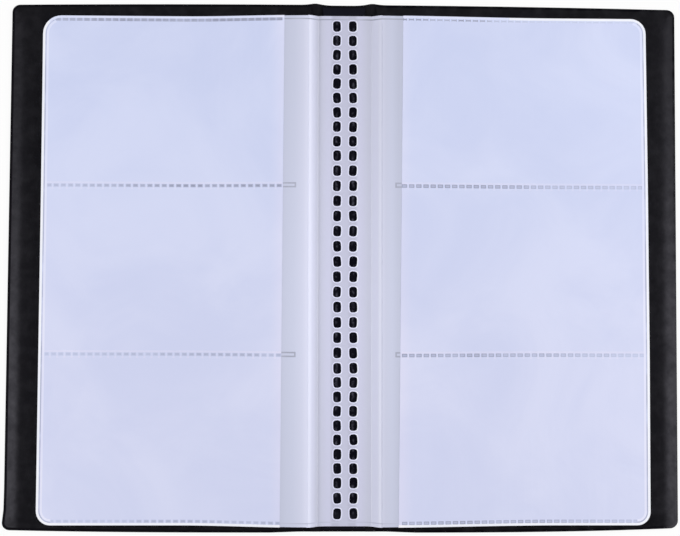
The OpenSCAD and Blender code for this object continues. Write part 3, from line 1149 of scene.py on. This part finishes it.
slopes = []
for side, sign in SIDES.items():
    bm = sloping_film(side)
    lay_on_side(bm, side, block_middle)
    finishes = [gutter_shaded_film[side], weld_hem]
    slope = make_piece(side + "_gutter_slope", bm, finishes, sharp=70)
    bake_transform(slope)
    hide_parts(side + "_slope")
    slopes.append(slope)
print(count_faces(*slopes))

# %% [markdown]
# All sheets of a leaf were stamped with the same round outer corners, larger at the head. The mouths of
# the pocket films were cut with a long blade and not quite square. A panel with a leaning side would be
# hard to inset later, so a film starts wider than it ends up and is trimmed along a leaning line.

# %% Outline of the leaves
MOUTH = {"front": (24.4 * MM, 25.5 * MM), "back": (23.25 * MM, 21.3 * MM)}
LEAF_CORNER = {"front": (7.3 * MM, 5.6 * MM), "back": (6.0 * MM, 5.2 * MM)}


def round_leaf(bm, side):
    """Rounds the outer corners of a leaf's panel, at the head and at the tail."""
    head_corner, tail_corner = LEAF_CORNER[side]
    middle_x = (crest_x + leaf_edge) / 2
    round_corners(bm, lambda place: place.x > middle_x and place.y > 0, head_corner, CORNER_SEGMENTS)
    round_corners(bm, lambda place: place.x > middle_x and place.y < 0, tail_corner, CORNER_SEGMENTS)


def trim_mouth(bm, side):
    """Cuts the film off along the mouths."""
    head, tail = MOUTH[side]
    along = Vector((head - tail, 2 * leaf_half, 0)).normalized()
    bmesh.ops.bisect_plane(
        bm,
        geom=everything(bm),
        dist=TOUCH,
        plane_co=((head + tail) / 2, 0, 0),
        plane_no=(along.y, -along.x, 0),
        clear_inner=True,
    )


print("fore-edge from the middle of the gutter in mm:", *in_mm(leaf_edge))

# %% [markdown]
# Pocket film is welded to its leaf along four dashed lines, pressed by a toothed wheel, which leave
# three pockets with their mouths at the gutter. Painted dashes would look flat, so the film is scored
# along every dash and each dash is pressed in, as real relief with its own greyer finish. The relief is
# too low to catch the light, so a paler lip above the inner lines, and paler ticks below them between
# the dashes, are a painted highlight. On the front leaves a dash is dark in its middle, and on the back
# leaves along its walls.

# %% Dashed welds
PRESS_DEPTH = 0.025 * MM
DASH_PITCH = 2.86 * MM
DASH = 2.1 * MM
DASH_HALF_H = 0.68 * MM
DASH_WALL = 0.3 * MM
FIRST_DASH = {"front": 25.2 * MM, "back": 22.6 * MM}
LAST_DASH = 3.5 * MM
LIP_ABOVE = 1.5 * MM
TICKS_BELOW = -1.5 * MM
FILM_FINISHES = (pocket_film, fused_edge, weld_seam, weld_deep, weld_floor, taut_film, weld_lip_highlight)
SLACK, RIM, SEAM, DEEP, FLOOR, TAUT, LIP_HIGHLIGHT, HEAD = range(8)


def dash_part(middle, side):
    """Finish of a film's face, by its middle: part of a weld line, a painted highlight beside it, or
    plain.
    """
    row = min(WELD_ROWS, key=lambda y: abs(middle.y - y))
    above = middle.y - row
    in_dash = (middle.x - FIRST_DASH[side]) % DASH_PITCH < DASH
    if abs(above) < DASH_HALF_H:
        gap = FLOOR if side == "front" and row == WELD_ROWS[0] else SLACK
        return DEEP if in_dash else gap
    if row in END_ROWS:
        return SLACK
    # Painted highlight of the weld relief: a band above the line and ticks below it between dashes.
    highlighted = above < LIP_ABOVE if above > 0 else above > TICKS_BELOW and not in_dash
    return LIP_HIGHLIGHT if highlighted else SLACK


def weld_dashes(bm, side):
    """Scores the weld lines, presses the dashes in and gives all parts of a line their finish."""
    first = FIRST_DASH[side]
    count = int((leaf_edge - first - LAST_DASH) / DASH_PITCH) + 1
    starts = [first + i * DASH_PITCH for i in range(count)]
    score(bm, (1, 0, 0), [place for start in starts for place in (start, start + DASH)])
    score(bm, (0, 1, 0), both_edges(END_ROWS, DASH_HALF_H))
    edges = (TICKS_BELOW, -DASH_HALF_H, DASH_HALF_H, LIP_ABOVE)
    score(bm, (0, 1, 0), [row + edge for row in WELD_ROWS[1:-1] for edge in edges])
    dashes = []
    for face in [face for face in bm.faces if face.material_index == SLACK]:
        middle = face.calc_center_median()
        if starts[0] < middle.x < starts[-1] + DASH:
            face.material_index = dash_part(middle, side)
        if face.material_index == DEEP:
            dashes.append(face)
    walls = bmesh.ops.inset_individual(
        bm, faces=dashes, thickness=DASH_WALL, depth=-PRESS_DEPTH, use_even_offset=True
    )
    for face in walls["faces"] if side == "front" else dashes:
        face.material_index = FLOOR
    for face in walls["faces"] + dashes:
        off_row = abs(face.calc_center_median().y - WELD_ROWS[0])
        if off_row < DASH_HALF_H:
            face.material_index = HEAD if side == "front" or off_row < DASH_HALF_H / 2 else SLACK
    return len(dashes)


print("weld lines at y in mm:", in_mm(*WELD_ROWS))

# %% [markdown]
# A leaf carries pocket film on both faces. Along its outer edge the film is fused to a white rim, with
# a pressed weld and a taut band inside it. A bevel would round this edge off, so rings are inset along
# it and each gets its finish. At the head, the rim is white only on the outer half of the back leaves.
# One mirror makes the film of the other face.

# %% Pocket films
MOUTH_SPARE = 6 * MM
FUSED_RIM = 0.95 * MM
EDGE_WELD = 0.5 * MM
TAUT_BAND = 0.9 * MM
WHITE_HEAD = {"back": 66 * MM}
CORNER_FADE = 0.35
FILM_THICK = 0.05 * MM


def fuse_edge(bm, side):
    """Steps the film in along its outline: white fused rim, pressed weld and taut band."""
    head_corner, tail_corner = LEAF_CORNER[side]
    for inward, finish in ((FUSED_RIM, RIM), (EDGE_WELD, SEAM), (TAUT_BAND, TAUT)):
        for face in inset(bm, widest_face(bm), inward):
            middle = face.calc_center_median()
            corner = head_corner if middle.y > 0 else tail_corner
            below_corner = middle.y < leaf_half - CORNER_FADE * head_corner
            fore_edge = middle.x > leaf_edge - corner and below_corner
            white_edge = middle.y < 0 or middle.x > WHITE_HEAD.get(side, leaf_edge)
            if fore_edge or (finish == RIM and white_edge):
                face.material_index = finish
            elif finish == RIM:
                face.material_index = TAUT
    bmesh.ops.dissolve_faces(bm, faces=[face for face in bm.faces if face.material_index == SLACK])


def pocket_films(side):
    """Both films of a leaf, about the leaf's middle, drawn for the back side."""
    bm = flat_panel(min(MOUTH[side]) - MOUTH_SPARE, leaf_edge, -leaf_half, leaf_half)
    round_leaf(bm, side)
    if side in WHITE_HEAD:
        score(bm, (1, 0, 0), [WHITE_HEAD[side]])
        bmesh.ops.dissolve_faces(bm, faces=bm.faces[:])
    fuse_edge(bm, side)
    trim_mouth(bm, side)
    dashes = weld_dashes(bm, side)
    bmesh.ops.translate(bm, vec=(0, 0, leaf_thick / 2), verts=bm.verts)
    thicken(bm, FILM_THICK)
    bmesh.ops.mirror(
        bm, geom=everything(bm), matrix=Matrix.Identity(4), merge_dist=TOUCH, axis="Z"
    )
    bmesh.ops.recalc_face_normals(bm, faces=bm.faces)
    cut_page(bm, side)
    print(side, "film:", dashes, "dashes,", len(bm.faces), "faces on both sides of a leaf")
    return bm


print("fused rim in mm:", *in_mm(FUSED_RIM))

# %% [markdown]
# Between the two films lies the leaf's middle sheet. Only its margin shows, from the mouths to the
# crease. The lower a leaf lies in its stack, the more its margin climbs to reach the crease that all
# leaves share, and this fan shows at head and tail. Each sheet starts a hair's width from the crease,
# and just above the sloping film, so that a turned leaf clears the others. The weld lines run on past
# the mouths for a few millimetres, as two fine lines that close in a small bracket.

# %% Middle sheets
SHEET_THICK = 0.09 * MM
SHEET_SHORT = 0.15 * MM
ROOT_GAP = 0.03 * MM
ROOT_FLAT = 6.4 * MM
ROOT_LINES = 11
SHEET_LINES = 15
TAIL_END = {"front": 19.5 * MM, "back": 20.0 * MM}
TAIL_HALF = 1.05 * MM
TAIL_LINE = 0.6 * MM
TAIL_LIFT = 0.3 * MM
UNDER_FILM = 3 * MM


def weld_tail(middle, side):
    """Finish of a sheet's face, by its middle: plain, or a weld line that runs on past the mouths."""
    end = TAIL_END[side]
    row = min(WELD_ROWS, key=lambda y: abs(middle.y - y))
    if row in END_ROWS:
        return WELD if abs(middle.y - row) < WELD_LINE / 2 else SHEET
    away = abs(middle.y - row - TAIL_LIFT)
    on_line = TAIL_HALF - TAIL_LINE < away < TAIL_HALF and middle.x > end
    closing = away < TAIL_HALF and 0 < middle.x - end < TAIL_LINE
    return WELD if on_line or closing else SHEET


def middle_sheet(side, climb):
    """A leaf's sheet about the leaf's middle, with a margin that climbs to the crease."""
    half = leaf_half - SHEET_SHORT
    bm = flat_panel(crest_x + ROOT_GAP, leaf_edge - SHEET_SHORT, -half, half)
    round_leaf(bm, side)
    end = TAIL_END[side]
    flat = crest_x + ROOT_FLAT
    margin = max(MOUTH[side]) + UNDER_FILM
    score(bm, (1, 0, 0), evenly(crest_x, flat, ROOT_LINES) + [flat, end, end + TAIL_LINE, margin])
    score(bm, (1, 0, 0), evenly(margin, leaf_edge - max(LEAF_CORNER[side]), SHEET_LINES))
    lines = both_edges(END_ROWS, WELD_LINE / 2)
    for row in WELD_ROWS[1:-1]:
        places = (TAIL_HALF, TAIL_HALF - TAIL_LINE)
        lines += [row + TAIL_LIFT + edge * place for edge in (-1, 1) for place in places]
    score(bm, (0, 1, 0), lines)
    for face in bm.faces:
        middle = face.calc_center_median()
        face.material_index = weld_tail(middle, side) if middle.x < margin else SHEET
    for vert in bm.verts:
        vert.co.z = SHEET_THICK / 2 + climb * (1 - smooth((vert.co.x - crest_x) / ROOT_FLAT))
    thicken(bm, SHEET_THICK)
    cut_page(bm, side)
    return bm


print("width of the climbing margin in mm:", *in_mm(ROOT_FLAT))

# %% [markdown]
# Now the two stacks are laid, leaf by leaf, with a function for one leaf. The films are alike on all
# leaves of a side, so they are drawn once and copied. Each leaf gets a little play along its width,
# because a stack of leaves never lies edge on edge.

# %% Stacks of leaves
LEAVES = 10
PLAY = 0.0012


def lay_leaf(side, k, films):
    """Lays one leaf of a stack, counted from the cover up."""
    body = f"{side}_leaf_{k}"
    low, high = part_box(body + "_pockets")
    middle = block_middle + Vector((0, 0, (low.z + high.z) / 2))
    stretch = 1 + (wander.uniform(-PLAY, 0) if k < LEAVES else 0)
    film_bm = films.copy()
    sheet_bm = middle_sheet(side, crest_height - middle.z)
    for bm in (film_bm, sheet_bm):
        bmesh.ops.scale(
            bm, vec=(stretch, 1, 1), verts=bm.verts, space=Matrix.Translation((-crest_x, 0, 0))
        )
        lay_on_side(bm, side, middle)
    film_finishes = [*FILM_FINISHES, weld_head[side]]
    film = make_piece(body + "_pocket_films", film_bm, film_finishes, sharp=25)
    sheet_finishes = [gutter_shaded_film[side], weld_hem]
    sheet = make_piece(body + "_middle_sheet", sheet_bm, sheet_finishes, sharp=60)
    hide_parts(body + "_pockets")
    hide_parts(body + "_sheet")
    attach(film, body)
    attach(sheet, body)
    return film, sheet


laid = []
for side in SIDES:
    films = pocket_films(side)
    for k in range(1, LEAVES + 1):
        laid += lay_leaf(side, k, films)
    films.free()
triangles = sum(len(face.vertices) - 2 for piece in laid for face in piece.data.polygons)
print("leaf pieces:", len(laid), "triangles:", triangles)
